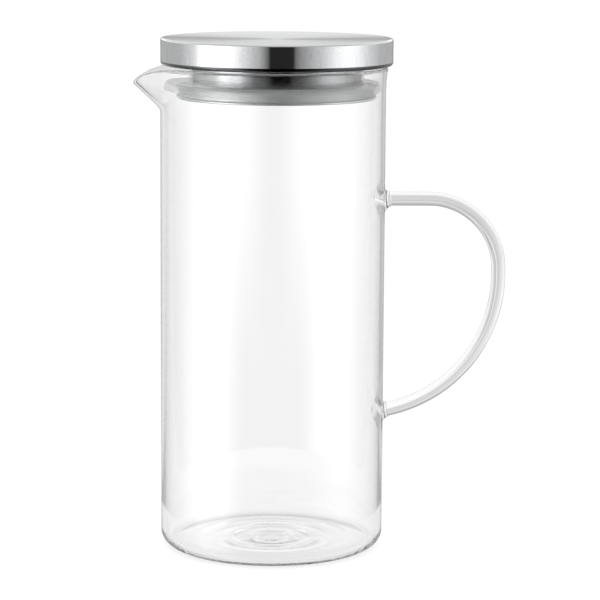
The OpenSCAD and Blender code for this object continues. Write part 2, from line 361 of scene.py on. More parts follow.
def silicone():
    """Moulded milky silicone: a pale haze that lets the steel behind it show through."""
    material, tree = new_material("silicone_moulded")
    place = add_node(tree, "ShaderNodeTexCoord")
    parts = add_node(tree, "ShaderNodeSeparateXYZ", inputs={"Vector": (place, "Object")})
    flat = add_node(tree, "ShaderNodeCombineXYZ", inputs={"X": (parts, "X"), "Y": (parts, "Y")})
    away = add_node(tree, "ShaderNodeVectorMath", {"operation": "LENGTH"}, {0: (flat, "Vector")})
    across = add_node(tree, "ShaderNodeMapRange", inputs={
        "Value": (away, "Value"), "From Min": SLEEVE_BORE * MM, "From Max": SKIRT_R * MM})
    milk = add_node(tree, "ShaderNodeValToRGB", inputs={"Fac": (across, "Result")})
    fill_ramp(milk, HAZE)
    cloud = noise(tree, (place, "Object"), 0.8)
    relief = bumps(tree, cloud, 0.1, 0.05)
    rubber = add_node(tree, "ShaderNodeBsdfPrincipled", inputs={
        "Base Color": linear("#F6F7F7"), "Roughness": 0.35, "IOR": 1.41, "Alpha": (milk, "Color"),
        "Normal": (relief, "Normal")})
    return finish_material(material, rubber)


def pull(a):
    """How strongly the spout draws the wall out, at an angle from its middle."""
    a = abs(a)
    if a >= SPOUT_HALF:
        return 0.0
    return (1 - (a / SPOUT_HALF) ** 4) ** 2 / (1 + (a / SPOUT_PINCH) ** 2)


def rise(z):
    """How far the keel of the spout stands out of the wall at a height."""
    up = max(z - (GLASS_H - SPOUT_DEPTH), 0)
    to_tip = SPOUT_DEPTH - SPOUT_DIP - SPOUT_BEND / 2
    run = up * up / (2 * SPOUT_BEND) if up < SPOUT_BEND else up - SPOUT_BEND / 2
    return SPOUT_REACH * run / to_tip


def flare(z):
    """How far the mouth opens out at a height."""
    return MOUTH_FLARE * (max(z - (GLASS_H - FLARE_H), 0) / FLARE_H) ** 3


def lip_z(a):
    """Height of the middle of the lip's rounding, at an angle from the spout's middle."""
    return GLASS_H - LIP_R * (1 + math.sin(MOUTH_TILT)) - SPOUT_DIP * pull(a)


def wall_point(r, a, z):
    """A point at a radius, an angle from the spout's middle and a height."""
    return Vector((-r * math.cos(a), r * math.sin(a), z))


def outer_face(a, z):
    """A point of the jug's outer face, at an angle from the spout's middle."""
    return wall_point(TUBE_R + flare(z) + pull(a) * rise(z), a, z)


def outward(a, z):
    """Direction square to the outer face, from points a small step round and a small step up."""
    step_a = 0.0002
    step_z = 0.01
    across = outer_face(a + step_a, z) - outer_face(a - step_a, z)
    up = outer_face(a, z + step_z) - outer_face(a, z - step_z)
    return up.cross(across).normalized()


def wall_columns():
    """Angles of the wall's columns from the spout's middle: closest there, evenly spaced elsewhere."""
    # Columns on each side of the spout, how they crowd to its middle, and the others' spacing in degrees
    fine = 52
    crowding = 1.25
    even = 1.25
    edge = 0.7 * math.degrees(SPOUT_HALF)
    half = [edge * (i / fine) ** crowding for i in range(fine)]
    count = round((180 - edge) / even)
    half += [edge + (180 - edge) * i / count for i in range(count + 1)]
    return [math.radians(a) for a in half] + [math.radians(-a) for a in reversed(half[1:-1])]


def foot_window(columns):
    """Index range of the columns that give way to the handle's feet."""
    middle = min(range(len(columns)), key=lambda i: abs(abs(columns[i]) - math.pi))
    return middle - FOOT_COLUMNS, middle + FOOT_COLUMNS


def rod_line():
    """Middle line of the rod, from the upper foot to the lower one, as points and directions."""
    straight_steps = 6
    bend_steps = 40
    start = TUBE_R + FOOT_REACH
    upper = Vector((GRIP_X - UPPER_BEND_R, 0, UPPER_FOOT_H - UPPER_BEND_R))
    lower = Vector((GRIP_X - LOWER_BEND_R, 0, upper.z - GRIP_STRAIGHT))
    line = []
    for i in range(straight_steps):
        x = start + (upper.x - start) * i / straight_steps
        line.append((Vector((x, 0, UPPER_FOOT_H)), 0.0))
    for i in range(bend_steps + 1):
        a = math.pi / 2 * (1 - i / bend_steps)
        line.append((upper + UPPER_BEND_R * Vector((math.cos(a), 0, math.sin(a))), a - math.pi / 2))
    for i in range(bend_steps + 1):
        a = -LOWER_TURN * i / bend_steps
        line.append((lower + LOWER_BEND_R * Vector((math.cos(a), 0, math.sin(a))), a - math.pi / 2))
    end = Vector((start, 0, LOWER_FOOT_H + FOOT_REACH * math.tan(LOWER_SLOPE)))
    line.append((end, LOWER_SLOPE - math.pi))
    return line


def wall_heights():
    """Heights of the wall's rows between the heel and the mouth, with the feet's rows among them."""
    spacing = 5
    rows = []
    z = HEEL_R
    for foot in (LOWER_FOOT_H, UPPER_FOOT_H):
        below = foot - FOOT_HALF_H
        count = max(2, round((below - z) / spacing))
        rows += [z + (below - z) * i / count for i in range(count)]
        rows += [below + FOOT_HALF_H * i / FOOT_ROWS for i in range(2 * FOOT_ROWS)]
        z = foot + FOOT_HALF_H
    count = round((MOUTH_LOW - z) / spacing)
    rows += [z + (MOUTH_LOW - z) * i / count for i in range(count)]
    return rows


def bulge(a, z):
    """How far the wall's inner face bulges into the tube, at an angle and a height."""
    depth = 0.0
    across = BORE_R * (math.pi - abs(a))
    for foot in (LOWER_FOOT_H, UPPER_FOOT_H):
        away = math.hypot(across, z - foot) / WELD_R
        if away < WELD_FADE:
            share = 0.5 + 0.5 * math.cos(math.pi * away / WELD_FADE)
            depth = max(depth, WELD_BULGE * share ** WELD_FLANK)
    return depth


def bead_edge(turn, web):
    """How far out a foot's edge lies from the wall, at a turn round the rod from its top."""
    return BEAD_OUT + web * (1 - math.cos(turn)) / 4


def foot_r(turn, out, web):
    """Radius of a foot at a turn round the rod and a distance from the wall: rod, bead, weld and web."""
    past = min(1, max(0, (out - bead_edge(turn, web)) / BEAD_EDGE))
    bead = BEAD * (1 - past * past * (3 - 2 * past))
    weld = (FOOT_R - ROD_R - BEAD) * math.exp(-out / WELD_SPREAD)
    below = web * max(0, -math.cos(turn)) ** 2 * max(0, 1 - out / bead_edge(turn, web)) ** 1.5
    return ROD_R + bead + weld + below


def floor_top(r):
    """Height of the floor's upper face at a radius, with the rings that pressing left in it."""
    slow = SLOW_RING_H * math.sin(2 * math.pi * r / SLOW_RING_STEP)
    slow *= min(1, r / SLOW_RING_IN)
    slow *= max(0, 1 - (r / SLOW_RING_OUT) ** 4)
    middle = FLOOR_RING_H * math.exp(-((r - FLOOR_RING_R) / FLOOR_RING_W) ** 2)
    outer = OUTER_RING_H * math.exp(-((r - OUTER_RING_R) / OUTER_RING_W) ** 2)
    return FLOOR_T + slow + middle + outer


def build_jug(material):
    """The jug and its handle as one fused piece of glass, wall by wall."""
    points = []
    faces = []
    columns = wall_columns()
    n = len(columns)

    def add_ring(ring):
        """Adds a ring of points, and gives the index of its first."""
        points.extend(ring)
        return len(points) - len(ring)

    def skin(low, high, skip):
        """Faces between two rings round the axis, except in a range of columns."""
        for j in range(n):
            if skip and skip[0] <= j < skip[1]:
                continue
            k = (j + 1) % n
            faces.append((low + k, low + j, high + j, high + k))

    def plain(r, z):
        """A round ring at a radius and a height."""
        return [wall_point(r, a, z) for a in columns]

    def mouth_row(a, i):
        """Height of a row of the mouth at an angle, counted up to the lip."""
        return MOUTH_LOW + (lip_z(a) - MOUTH_LOW) * i / mouth_steps

    heel_steps = 14
    mouth_steps = 26
    lip_steps = 10
    floor_steps = 44
    rings = []
    # The outer face, from the middle of the underside out, round the heel and up to the lip
    centre_low = add_ring([Vector((0, 0, 0))])
    for r in (2, 6, 12, 20, 28, 36, 40, TUBE_R - HEEL_R):
        rings.append(add_ring(plain(r, 0)))
    for i in range(1, heel_steps + 1):
        t = math.pi / 2 * i / heel_steps
        rings.append(add_ring(plain(TUBE_R - HEEL_R * (1 - math.sin(t)), HEEL_R * (1 - math.cos(t)))))
    heights = wall_heights()
    first_wall = len(rings) - 1
    for z in heights[1:]:
        rings.append(add_ring(plain(TUBE_R, z)))
    for i in range(mouth_steps + 1):
        rings.append(add_ring([outer_face(a, mouth_row(a, i)) for a in columns]))
    for i in range(1, lip_steps):
        t = math.pi * i / lip_steps
        ring = []
        for a in columns:
            out = outward(a, lip_z(a))
            up = Vector((math.sin(a), math.cos(a), 0)).cross(out).normalized()
            ring.append(outer_face(a, lip_z(a)) + LIP_R * ((math.cos(t) - 1) * out + math.sin(t) * up))
        rings.append(add_ring(ring))
    # The inner face, down from the lip, round the inner heel and in to the middle of the floor
    for i in range(mouth_steps, -1, -1):
        ring = []
        for a in columns:
            z = mouth_row(a, i)
            inner = outer_face(a, z) - WALL * outward(a, z)
            if i == 0:
                inner.z = MOUTH_LOW
            ring.append(inner)
        rings.append(add_ring(ring))
    inner_heel = HEEL_R - WALL
    low = FLOOR_T + inner_heel
    for z in reversed([z for z in heights if z > low + 1]):
        rings.append(add_ring([wall_point(BORE_R - bulge(a, z), a, z) for a in columns]))
    rings.append(add_ring(plain(BORE_R, low)))
    for i in range(1, heel_steps + 1):
        t = math.pi / 2 * i / heel_steps
        r = BORE_R - inner_heel * (1 - math.cos(t))
        rings.append(add_ring(plain(r, low - inner_heel * math.sin(t))))
    edge = BORE_R - inner_heel
    for i in range(1, floor_steps):
        r = edge * (1 - i / floor_steps)
        rings.append(add_ring(plain(r, floor_top(r))))
    centre_top = add_ring([Vector((0, 0, floor_top(0)))])

    # Faces between the rings, with a hole in the wall for each foot of the handle
    window = foot_window(columns)
    foot_rows = []
    for foot in (LOWER_FOOT_H, UPPER_FOOT_H):
        start = min(range(len(heights)), key=lambda i: abs(heights[i] - (foot - FOOT_HALF_H)))
        foot_rows.append((first_wall + start, first_wall + start + 2 * FOOT_ROWS))
    for i in range(len(rings) - 1):
        cut = any(a <= i < b for a, b in foot_rows)
        skin(rings[i], rings[i + 1], window if cut else None)
    for j in range(n):
        k = (j + 1) % n
        faces.append((centre_low, rings[0] + j, rings[0] + k))
        faces.append((centre_top, rings[-1] + k, rings[-1] + j))

    def window_edge(row_range):
        """Indices round a foot's hole, clockwise seen from outside, from the top middle."""
        lo, hi = row_range
        left, right = window
        mid = (left + right) // 2
        top = [rings[hi] + j for j in range(mid, right)]
        side = [rings[i] + right for i in range(hi, lo, -1)]
        bottom = [rings[lo] + j for j in range(right, left, -1)]
        other = [rings[i] + left for i in range(lo, hi)]
        rest = [rings[hi] + j for j in range(left, mid)]
        return top + side + bottom + other + rest

    def on_wall(base, axis, up, y, h, out):
        """The wall's point along the rod's direction at an offset, moved out along that direction."""
        p = base + Vector((0, y, 0)) + h * up
        reach = (math.sqrt(TUBE_R ** 2 - y ** 2) - p.x) / axis.x
        settle = max(0, 1 - out / FOOT_REACH)
        return p + (reach * settle + out) * axis

    def foot_rings(edge_ids, height, slope, web):
        """Rings from the edge of a hole in to the rod, and the turns at which their points stand."""
        axis = Vector((math.cos(slope), 0, math.sin(slope)))
        up = Vector((-math.sin(slope), 0, math.cos(slope)))
        base = Vector((TUBE_R, 0, height))
        sides = []
        corner = []
        for k in edge_ids:
            p = points[k] - base
            sides.append(math.atan2(p.y, p.dot(up)))
            corner.append(math.hypot(p.y, p.dot(up)))
        result = []
        wall_steps = 5
        for s in range(1, wall_steps + 1):
            ring = []
            for turn, far in zip(sides, corner):
                r = far + (foot_r(turn, 0, web) - far) * (s / wall_steps)
                ring.append(on_wall(base, axis, up, r * math.sin(turn), r * math.cos(turn), 0))
            result.append(ring)
        for share, past in FOOT_STATIONS:
            ring = []
            for turn in sides:
                out = share * bead_edge(turn, web) + past * BEAD_EDGE
                r = foot_r(turn, out, web)
                ring.append(on_wall(base, axis, up, r * math.sin(turn), r * math.cos(turn), out))
            result.append(ring)
        return result, sides

    def carry_on(previous, ring):
        """Adds a ring of a foot or the rod with its faces, and gives the indices of its points."""
        start = add_ring(ring)
        ids = list(range(start, start + len(ring)))
        for j in range(len(ids)):
            k = (j + 1) % len(ids)
            faces.append((previous[j], previous[k], ids[k], ids[j]))
        return ids

    # Both feet, each from the hole left for it in the wall, and the rod between them
    ends = []
    for row_range, height, slope, web in ((foot_rows[1], UPPER_FOOT_H, 0.0, UPPER_WEB),
                                          (foot_rows[0], LOWER_FOOT_H, LOWER_SLOPE, LOWER_WEB)):
        ids = window_edge(row_range)
        foot, sides = foot_rings(ids, height, slope, web)
        for ring in foot:
            ids = carry_on(ids, ring)
        ends.append((ids, sides))
    previous, sides = ends[0]
    for p, heading in rod_line():
        up = Vector((-math.sin(heading), 0, math.cos(heading)))
        ring = [p + ROD_R * (math.cos(turn) * up + math.sin(turn) * Vector((0, 1, 0))) for turn in sides]
        previous = carry_on(previous, ring)
    # The lower foot's points run the other way round, so they are paired backwards from the nearest one
    last = ends[1][0]
    count = len(last)
    first = min(range(count), key=lambda m: (points[last[m]] - points[previous[0]]).length)
    for j in range(count):
        k = (j + 1) % count
        faces.append((previous[j], previous[k], last[(first - k) % count], last[(first - j) % count]))
    return make_piece("blown_jug", points, faces, material)


def make_piece(name, points, faces, material):
    """A smooth-shaded mesh object from points in millimetres."""
    mesh = bpy.data.meshes.new(name)
    mesh.from_pydata([p * MM for p in points], [], faces)
    mesh.validate()
    mesh.shade_smooth()
    mesh.materials.append(material)
    piece = bpy.data.objects.new(name, mesh)
    bpy.context.collection.objects.link(piece)
    return piece


def arc(x, z, r, start, end, steps):
    """Points of an arc in a profile, angles in degrees from the outward direction."""
    turns = [math.radians(start + (end - start) * i / steps) for i in range(steps + 1)]
    return [(x + r * math.cos(t), z + r * math.sin(t)) for t in turns]


def with_guards(profile, guard=0.08, least=0.6):
    """The profile with a point close inside each end of its straights, so that they shade flat."""
    result = []
    count = len(profile)
    for i in range(count):
        a, b = profile[i], profile[(i + 1) % count]
        result.append(a)
        run = math.hypot(b[0] - a[0], b[1] - a[1])
        if run > least:
            for share in (guard / run, 1 - guard / run):
                result.append(tuple(p + (q - p) * share for p, q in zip(a, b)))
    return result


def spinning_tree():
    """Nodes that turn a profile about the upright axis, with a map that follows the sheet."""
    tree = bpy.data.node_groups.new("spun_profile", "GeometryNodeTree")
    face = tree.interface
    face.new_socket("Geometry", in_out="INPUT", socket_type="NodeSocketGeometry")
    for name, kind in (("Segments", "NodeSocketInt"), ("Map Width", "NodeSocketFloat"),
                       ("Finish", "NodeSocketMaterial"), ("Edge Finish", "NodeSocketMaterial"),
                       ("Roll Finish", "NodeSocketMaterial")):
        face.new_socket(name, in_out="INPUT", socket_type=kind)
    face.new_socket("Geometry", in_out="OUTPUT", socket_type="NodeSocketGeometry")

    def calc(operation, *values):
        return maths(tree, operation, *values)

    def add(kind, settings=None, inputs=None):
        """Adds one node of geometry."""
        return add_node(tree, "GeometryNode" + kind, settings, inputs)

    given = tree.nodes.new("NodeGroupInput")
    size = add("AttributeDomainSize", inputs={"Geometry": (given, "Geometry")})
    grid = add("MeshGrid", inputs={
        "Size X": 1.0, "Size Y": 1.0,
        "Vertices X": calc("ADD", (given, "Segments"), 1.0), "Vertices Y": (size, "Point Count")})
    index = add("InputIndex")
    station = calc("MODULO", (index, "Index"), (size, "Point Count"))
    turn_count = calc("FLOOR", calc("DIVIDE", calc("ADD", (index, "Index"), 0.5), (size, "Point Count")))
    share = calc("DIVIDE", turn_count, (given, "Segments"))
    turn = calc("MULTIPLY", share, 2 * math.pi)
    position = add("InputPosition")
    sampled = add("SampleIndex", {"data_type": "FLOAT_VECTOR", "domain": "POINT"}, {
        "Geometry": (given, "Geometry"), "Value": (position, "Position"), "Index": station})
    parts = add_node(tree, "ShaderNodeSeparateXYZ", inputs={"Vector": (sampled, "Value")})

    def at_station(name):
        """A named value of the profile, read at the point's station."""
        value = add("InputNamedAttribute", {"data_type": "FLOAT"}, {"Name": name})
        return add("SampleIndex", {"data_type": "FLOAT", "domain": "POINT"}, {
            "Geometry": (given, "Geometry"), "Value": (value, "Attribute"), "Index": station}), "Value"

    x = calc("ADD", calc("MULTIPLY", (parts, "X"), calc("COSINE", turn)), at_station("shift"))
    y = calc("MULTIPLY", (parts, "X"), calc("SINE", turn))
    place = add_node(tree, "ShaderNodeCombineXYZ", inputs={"X": x, "Y": y, "Z": (parts, "Z")})
    spun = add("SetPosition", inputs={"Geometry": (grid, "Mesh"), "Position": (place, "Vector")})
    along = calc("MULTIPLY", share, (given, "Map Width"))
    both = add_node(tree, "ShaderNodeCombineXYZ", inputs={"X": along, "Y": at_station("run")})
    mapped = add("StoreNamedAttribute", {"data_type": "FLOAT2", "domain": "CORNER"}, {
        "Geometry": (spun, "Geometry"), "Name": "UVMap", "Value": (both, "Vector")})
    marked = add("StoreNamedAttribute", {"data_type": "FLOAT", "domain": "POINT"}, {
        "Geometry": (mapped, "Geometry"), "Name": "edge", "Value": at_station("edge")})
    closed = add("MergeByDistance", inputs={
        "Geometry": (marked, "Geometry"), "Distance": MERGE_GAP * MM})
    smooth = add("SetShadeSmooth", inputs={"Geometry": (closed, "Geometry")})
    real = add("RealizeInstances", inputs={"Geometry": (smooth, "Geometry")})
    edge = add("InputNamedAttribute", {"data_type": "FLOAT"}, {"Name": "edge"})
    dressed = real
    for finish, chosen in (("Finish", True),
                           ("Edge Finish", calc("GREATER_THAN", (edge, "Attribute"), MARKED)),
                           ("Roll Finish", calc("LESS_THAN", (edge, "Attribute"), -MARKED))):
        dressed = add("SetMaterial", inputs={
            "Geometry": (dressed, "Geometry"), "Selection": chosen, "Material": (given, finish)})
    result = tree.nodes.new("NodeGroupOutput")
    tree.links.new(dressed.outputs[0], result.inputs[0])
    return tree


def spin(name, tree, profile, edge_kind, finish, edge_finish, roll_finish):
    """A plain mesh turned from a closed profile of radii and heights in millimetres."""
    # A point of the profile may give its own shift of the axis. The others take the lid's.
    stations = with_guards([(p + (LID_SHIFT,))[:3] for p in profile])
    stations.append(stations[0])
    mesh = bpy.data.meshes.new(name + "_profile")
    mesh.from_pydata([(r * MM, 0, z * MM) for r, z, shift in stations],
                     [(i, i + 1) for i in range(len(stations) - 1)], [])
    run, move, edge = (mesh.attributes.new(kind, "FLOAT", "POINT") for kind in ("run", "shift", "edge"))
    length = 0.0
    for i, (r, z, shift) in enumerate(stations):
        if i:
            length += math.hypot(r - stations[i - 1][0], z - stations[i - 1][1])
        run.data[i].value = length
        move.data[i].value = shift * MM
        edge.data[i].value = edge_kind(r, z)
    profile_object = bpy.data.objects.new(name + "_profile", mesh)
    bpy.context.collection.objects.link(profile_object)
    modifier = profile_object.modifiers.new("spin", "NODES")
    modifier.node_group = tree
    sockets = {s.name: s.identifier for s in tree.interface.items_tree if s.in_out == "INPUT"}
    modifier[sockets["Segments"]] = SEGMENTS
    modifier[sockets["Map Width"]] = 2 * math.pi * TUBE_R
    modifier[sockets["Finish"]] = finish
    modifier[sockets["Edge Finish"]] = edge_finish
    modifier[sockets["Roll Finish"]] = roll_finish
    depsgraph = bpy.context.evaluated_depsgraph_get()
    turned = bpy.data.meshes.new_from_object(profile_object.evaluated_get(depsgraph))
    turned.name = name
    piece = bpy.data.objects.new(name, turned)
    bpy.context.collection.objects.link(piece)
    bpy.data.objects.remove(profile_object)
    return piece


def cap_profile():
    """The cap's shell, from the middle of its dished top over the edge and round the rolled rim."""
    rim = CAP_R - CAP_EDGE
    dish_steps = 24
    hem_steps = 12
    # The hem turns in under the side from 10 degrees to 90
    turns = [math.radians(-10 - 80 * i / hem_steps) for i in range(hem_steps)]
    radii = [rim * i / dish_steps for i in range(dish_steps)]
    dish = [(r, CAP_TOP - CAP_DISH * (1 - (r / rim) ** 2)) for r in radii]
    edge = arc(rim, CAP_TOP - CAP_EDGE, CAP_EDGE, 90, 0, 10)
    hem = [(CAP_R + CAP_ROLL * (math.cos(t) - 1), CAP_LOW + HEM_H * (1 + math.sin(t))) for t in turns]
    roll = arc(CAP_R - CAP_ROLL, CAP_LOW + CAP_ROLL, CAP_ROLL, -90, -200, 12)
    under = CAP_TOP - CAP_DISH - SHEET
    inside = [(CAP_R - 2 * CAP_ROLL, CAP_LOW + CAP_ROLL + ROLL_END),
              (CAP_R - SHEET - ROLL_GAP, CAP_LOW + 2 * CAP_ROLL),
              (CAP_R - SHEET, CAP_LOW + 3 * CAP_ROLL), (CAP_R - SHEET, under), (0, under)]
    return list(reversed(dish + edge + hem + roll + inside))


def cap_edges(r, z):
    """The cap's rounded top edge, and the hem rolled under its rim."""
    if z < CAP_LOW + HEM_H:
        return ROLLED
    return BURNISHED if z > CAP_TOP - CAP_EDGE and r > CAP_R - CAP_EDGE - SHEET else OPEN


def base_profile():
    """The base plate inside the cap, with its upturned rim."""
    rim_z = SEAT_Z + CAP_H / 3
    corner = 2 * SHEET
    outside = [(0, SEAT_Z)] + arc(BASE_R - corner, SEAT_Z + corner, corner, -90, 0, 8)
    inside = arc(BASE_R - corner, SEAT_Z + corner, corner - SHEET, 0, -90, 6) + [(0, SEAT_Z + SHEET)]
    return outside + [(BASE_R, rim_z), (BASE_R - SHEET, rim_z)] + inside


def base_edges(r, z):
    """The base plate's rounded corner."""
    return BURNISHED if r > BASE_R - 2 * SHEET and z < SEAT_Z + 2 * SHEET else OPEN


def collar_profile():
    """The collar: a flange under the base, a tapered wall, and the ledge that covers the ring."""
    flange = COLLAR_R - 6 * SHEET
    ledge_top = LEDGE_LOW + SHEET
    tip = SLEEVE_R - SHEET / 2
    inside = [(flange, SEAT_Z - SHEET), (COLLAR_R - SHEET, SEAT_Z - SHEET),
              (COLLAR_FOOT_R - SHEET, LEDGE_LOW), (tip, LEDGE_LOW)]
    outside = [(COLLAR_FOOT_R + COLLAR_FILLET, ledge_top),
               (COLLAR_FOOT_R + FILLET_MIDDLE, ledge_top + FILLET_MIDDLE),
               (COLLAR_FOOT_R, ledge_top + COLLAR_FILLET), (COLLAR_R, SEAT_Z), (flange, SEAT_Z)]
    return inside + arc(tip, LEDGE_LOW + SHEET / 2, SHEET / 2, -90, 90, 8) + outside


def collar_edges(r, z):
    """The turned-out ledge at the collar's foot."""
    return BURNISHED if r > COLLAR_FOOT_R + SHEET / 2 and z < LEDGE_LOW + 2 * SHEET else OPEN


def pan_profile():
    """The pan inside the ring, with a roll round its underside."""
    floor_low = PAN_LOW + PAN_ROLL - SHEET / 2
    roll_x = SLEEVE_R - PAN_ROLL
    roll = arc(roll_x, PAN_LOW + PAN_ROLL, PAN_ROLL, -150, 150, 20)
    inside = [(PAN_R, floor_low + SHEET), (PAN_R, LEDGE_LOW), (PAN_R - SHEET, LEDGE_LOW),
              (PAN_R - SHEET, floor_low + SHEET), (0, floor_low + SHEET)]
    return [(0, floor_low), (roll_x - PAN_CREASE, floor_low)] + roll + inside


def pan_edges(r, z):
    """The roll round the pan's underside."""
    return BURNISHED if r > PAN_R - SHEET and z < PAN_LOW + 2 * PAN_ROLL else OPEN


def ring_profile():
    """The ring: a sleeve round the pan, and a skirt in the mouth, which follows the tube's own axis."""
    edge = SKIRT_H / 8
    sleeve = [(SLEEVE_BORE, SLEEVE_LOW), (SLEEVE_R, SLEEVE_LOW), (SLEEVE_R, SLEEVE_LOW + SLEEVE_FOOT)]
    skirt = [(SKIRT_R - edge, SKIRT_Z, 0.0), (SKIRT_R, SKIRT_Z + edge, 0.0),
             (SKIRT_R - SKIRT_LEAN, SKIRT_Z + SKIRT_H - edge, 0.0),
             (SKIRT_R - SKIRT_LEAN - edge, SKIRT_Z + SKIRT_H, 0.0)]
    return sleeve + skirt + [(SLEEVE_R - SLEEVE_LEAN, SLEEVE_HIGH), (SLEEVE_BORE, SLEEVE_HIGH)]


def no_edges(r, z):
    """The ring has one finish all over."""
    return OPEN


# The camera as it stood for the picture: its place, lens and sensor in millimetres, its turns in degrees
CAMERA_PLACE = (-9.60, -1133.60, 295.12)
CAMERA_YAW = 1.1116
CAMERA_PITCH = 9.2277
CAMERA_ROLL = 0.3333
CAMERA_LENS = 153.98
CAMERA_SENSOR = 36


def add_camera():
    """The camera at the picture's viewing angle."""
    yaw, pitch, roll = (math.radians(a) for a in (CAMERA_YAW, CAMERA_PITCH, CAMERA_ROLL))
    ahead = Vector((math.sin(yaw) * math.cos(pitch), math.cos(yaw) * math.cos(pitch), -math.sin(pitch)))
    level = Vector((math.cos(yaw), -math.sin(yaw), 0))
    above = level.cross(ahead)
    right = math.cos(roll) * level + math.sin(roll) * above
    top = -math.sin(roll) * level + math.cos(roll) * above
    data = bpy.data.cameras.new("camera")
    data.sensor_width = CAMERA_SENSOR
    data.lens = CAMERA_LENS
    camera = bpy.data.objects.new("camera", data)
    turn = Matrix((right, top, -ahead)).transposed().to_4x4()
    camera.matrix_world = Matrix.Translation(Vector(CAMERA_PLACE) * MM) @ turn
    bpy.context.collection.objects.link(camera)
    bpy.context.scene.camera = camera


# Brightness of the studio round the object, near the height of the eye: (degrees from the camera's side,
# level). That side is dark, and two broad soft boxes stand at its left and right. Behind the object the
# room is grey, with a paler wall straight behind between two darker gaps.
STUDIO = ((-180, 1.1), (-171, 1.0), (-164, 0.3), (-156, 0.55), (-122, 0.57), (-108, 0.6),
          (-89, 0.95), (-77, 1.9), (-50, 2.1), (-43, 1.6), (-29, 1.12), (-17, 0.68), (-13, 0.45),
          (-9, 0.2), (-7, 0.0), (15.4, 0.0), (18.2, 0.28), (24, 0.48), (34, 0.72), (43, 0.9),
          (51, 1.12), (60, 1.44), (72, 1.6), (81, 1.52), (90, 1.3), (101, 0.95), (122, 0.6),
          (156, 0.52), (164, 0.3), (171, 1.0), (180, 1.1))
# How much of that is left lower down, below the soft boxes, in the same directions
LOWER = ((-180, 0.9), (-120, 1.0), (-95, 1.4), (-74, 1.3), (-50, 0.8), (-30, 0.06), (30, 0.02),
         (60, 0.5), (80, 0.7), (110, 0.8), (140, 0.85), (180, 0.9))
# Brightness over the far side, by the sine of the height: a grey wall, and a bright overhead soft box
CEILING = ((0.0, 0.42), (0.07, 0.42), (0.12, 0.9), (0.16, 1.4), (0.2, 1.5), (0.28, 0.95), (1.0, 0.9))
# The same over the camera's side, which is dim near the height of the eye
NEAR_CEILING = ((0.0, 0.06), (0.12, 0.1), (0.19, 0.42), (0.45, 0.55), (0.7, 0.8), (1.0, 0.9))
# Straight below, reflections darken, by the sine of the depth
UNDERSIDE = ((0.0, 1.0), (0.25, 1.0), (0.5, 0.6), (0.75, 0.4), (1.0, 0.35))
# Brightness of what shows straight through the glass, by the sine of its height: a white backdrop, dimmer
# towards its top
BACKDROP = ((0.0, 1.0), (0.1, 1.0), (0.2, 0.9), (0.3, 0.65), (0.45, 0.5), (1.0, 0.4))
# What one solid rod of glass gathers from the sides of the backdrop: (degrees, level), the same in each
# quarter turn. A thin bright gap stands between two dark screens, and the rest shades off softly.
SCREENS = ((-45, 0.84), (-37, 0.93), (-27, 0.9), (-20, 0.85), (-13, 0.785), (-3, 0.7), (8, 0.61),
           (14, 0.54), (17, 0.62), (19.5, 0.96), (22, 0.6), (26.5, 0.4), (36, 0.56), (45, 0.84))
# A ray that has passed one solid of glass alone has crossed fewer faces than this
ONE_SOLID = 2.5
# Where one part of the studio gives way to the next, by the sine of the height
FAR_RISE = (-0.02, 0.04)
NEAR_RISE = (0.1, 0.2)
LOWER_FALL = (0.1, 0.2)
SCREEN_TOP = (0.05, 0.3)
# Where the camera's side gives way to the far side, and where straight behind begins, by sine of bearing
SIDE_CHANGE = (-0.25, 0.25)
BEHIND = (0.75, 0.88)
# The even light that falls on dull surfaces
EVEN_LIGHT = 0.9


def azimuth_level(tree, across, along, stops, period):
    """A level by the direction round the object, from a table in degrees: a ramp and its scale."""
    angle = maths(tree, "ARCTAN2", across, along)
    turns = maths(tree, "MULTIPLY_ADD", angle, 180 / math.pi / period, 0.5)
    level = add_node(tree, "ShaderNodeValToRGB", inputs={"Fac": maths(tree, "FRACT", turns)})
    brightest = max(v for a, v in stops)
    fill_ramp(level, [(a / period + 0.5, v / brightest) for a, v in stops])
    return (level, "Color"), brightest


def height_level(tree, height, stops):
    """A level that depends on the sine of a height, from a table."""
    level = add_node(tree, "ShaderNodeValToRGB", inputs={"Fac": height})
    brightest = max(v for s, v in stops)
    fill_ramp(level, [(s, v / brightest) for s, v in stops])
    return maths(tree, "MULTIPLY", (level, "Color"), brightest)


def screened(tree, across, along, share):
    """The screens' level, where a ray has passed one solid of glass alone, and 1 for every other ray."""
    screens, brightest = azimuth_level(tree, across, along, SCREENS, 90)
    path = add_node(tree, "ShaderNodeLightPath")
    alone = maths(tree, "LESS_THAN", (path, "Transmission Depth"), ONE_SOLID)
    crossed = maths(tree, "MULTIPLY", alone, (path, "Is Transmission Ray"))
    here = maths(tree, "MULTIPLY", crossed, share)
    dim = maths(tree, "MULTIPLY_ADD", screens, brightest, -1.0)
    return maths(tree, "MULTIPLY_ADD", dim, here, 1.0)


def has_mirrored(tree):
    """1 for a ray that surfaces have mirrored once to three times on its way here, else 0."""
    path = add_node(tree, "ShaderNodeLightPath")
    return maths(tree, "COMPARE", (path, "Glossy Depth"), 2.0, 1.5)


def ramp_up(tree, value, span, low=0.0, high=1.0):
    """A smooth step from one level to another while a value crosses a span."""
    node = add_node(tree, "ShaderNodeMapRange", {"interpolation_type": "SMOOTHSTEP"}, {
        "Value": value, "From Min": span[0], "From Max": span[1], "To Min": low, "To Max": high})
    return node, "Result"


